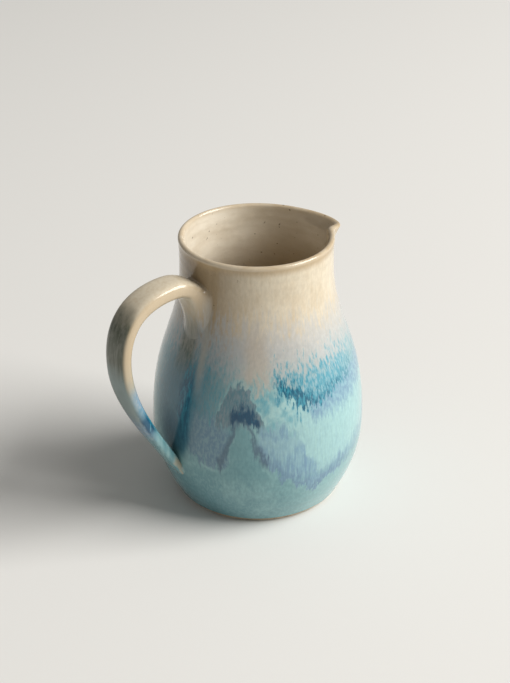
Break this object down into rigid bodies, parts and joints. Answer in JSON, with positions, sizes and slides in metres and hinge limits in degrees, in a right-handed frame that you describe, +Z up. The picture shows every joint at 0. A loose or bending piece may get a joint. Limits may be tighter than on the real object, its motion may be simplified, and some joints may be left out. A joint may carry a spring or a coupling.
{
  "type": "pitcher",
  "caption": "Round-bellied glazed stoneware pitcher with a pulled pouring spout and a strap handle.",
  "frame": {"origin": "centre of the foot's flat underside, on the axis of the body", "axes": "+Z up along the body's axis; -X towards the handle; the spout points towards +X, turned 19 degrees towards -Y"},
  "size_m": [0.1767, 0.136, 0.177],
  "materials": {
    "glaze": "gloss",
    "bare_clay": "matte"
  },
  "bodies": {
    "root": {"body": "glaze", "foot": "bare_clay", "handle": "glaze", "upper_root_clay": "glaze", "lower_root_clay": "glaze"}
  },
  "joints": []
}
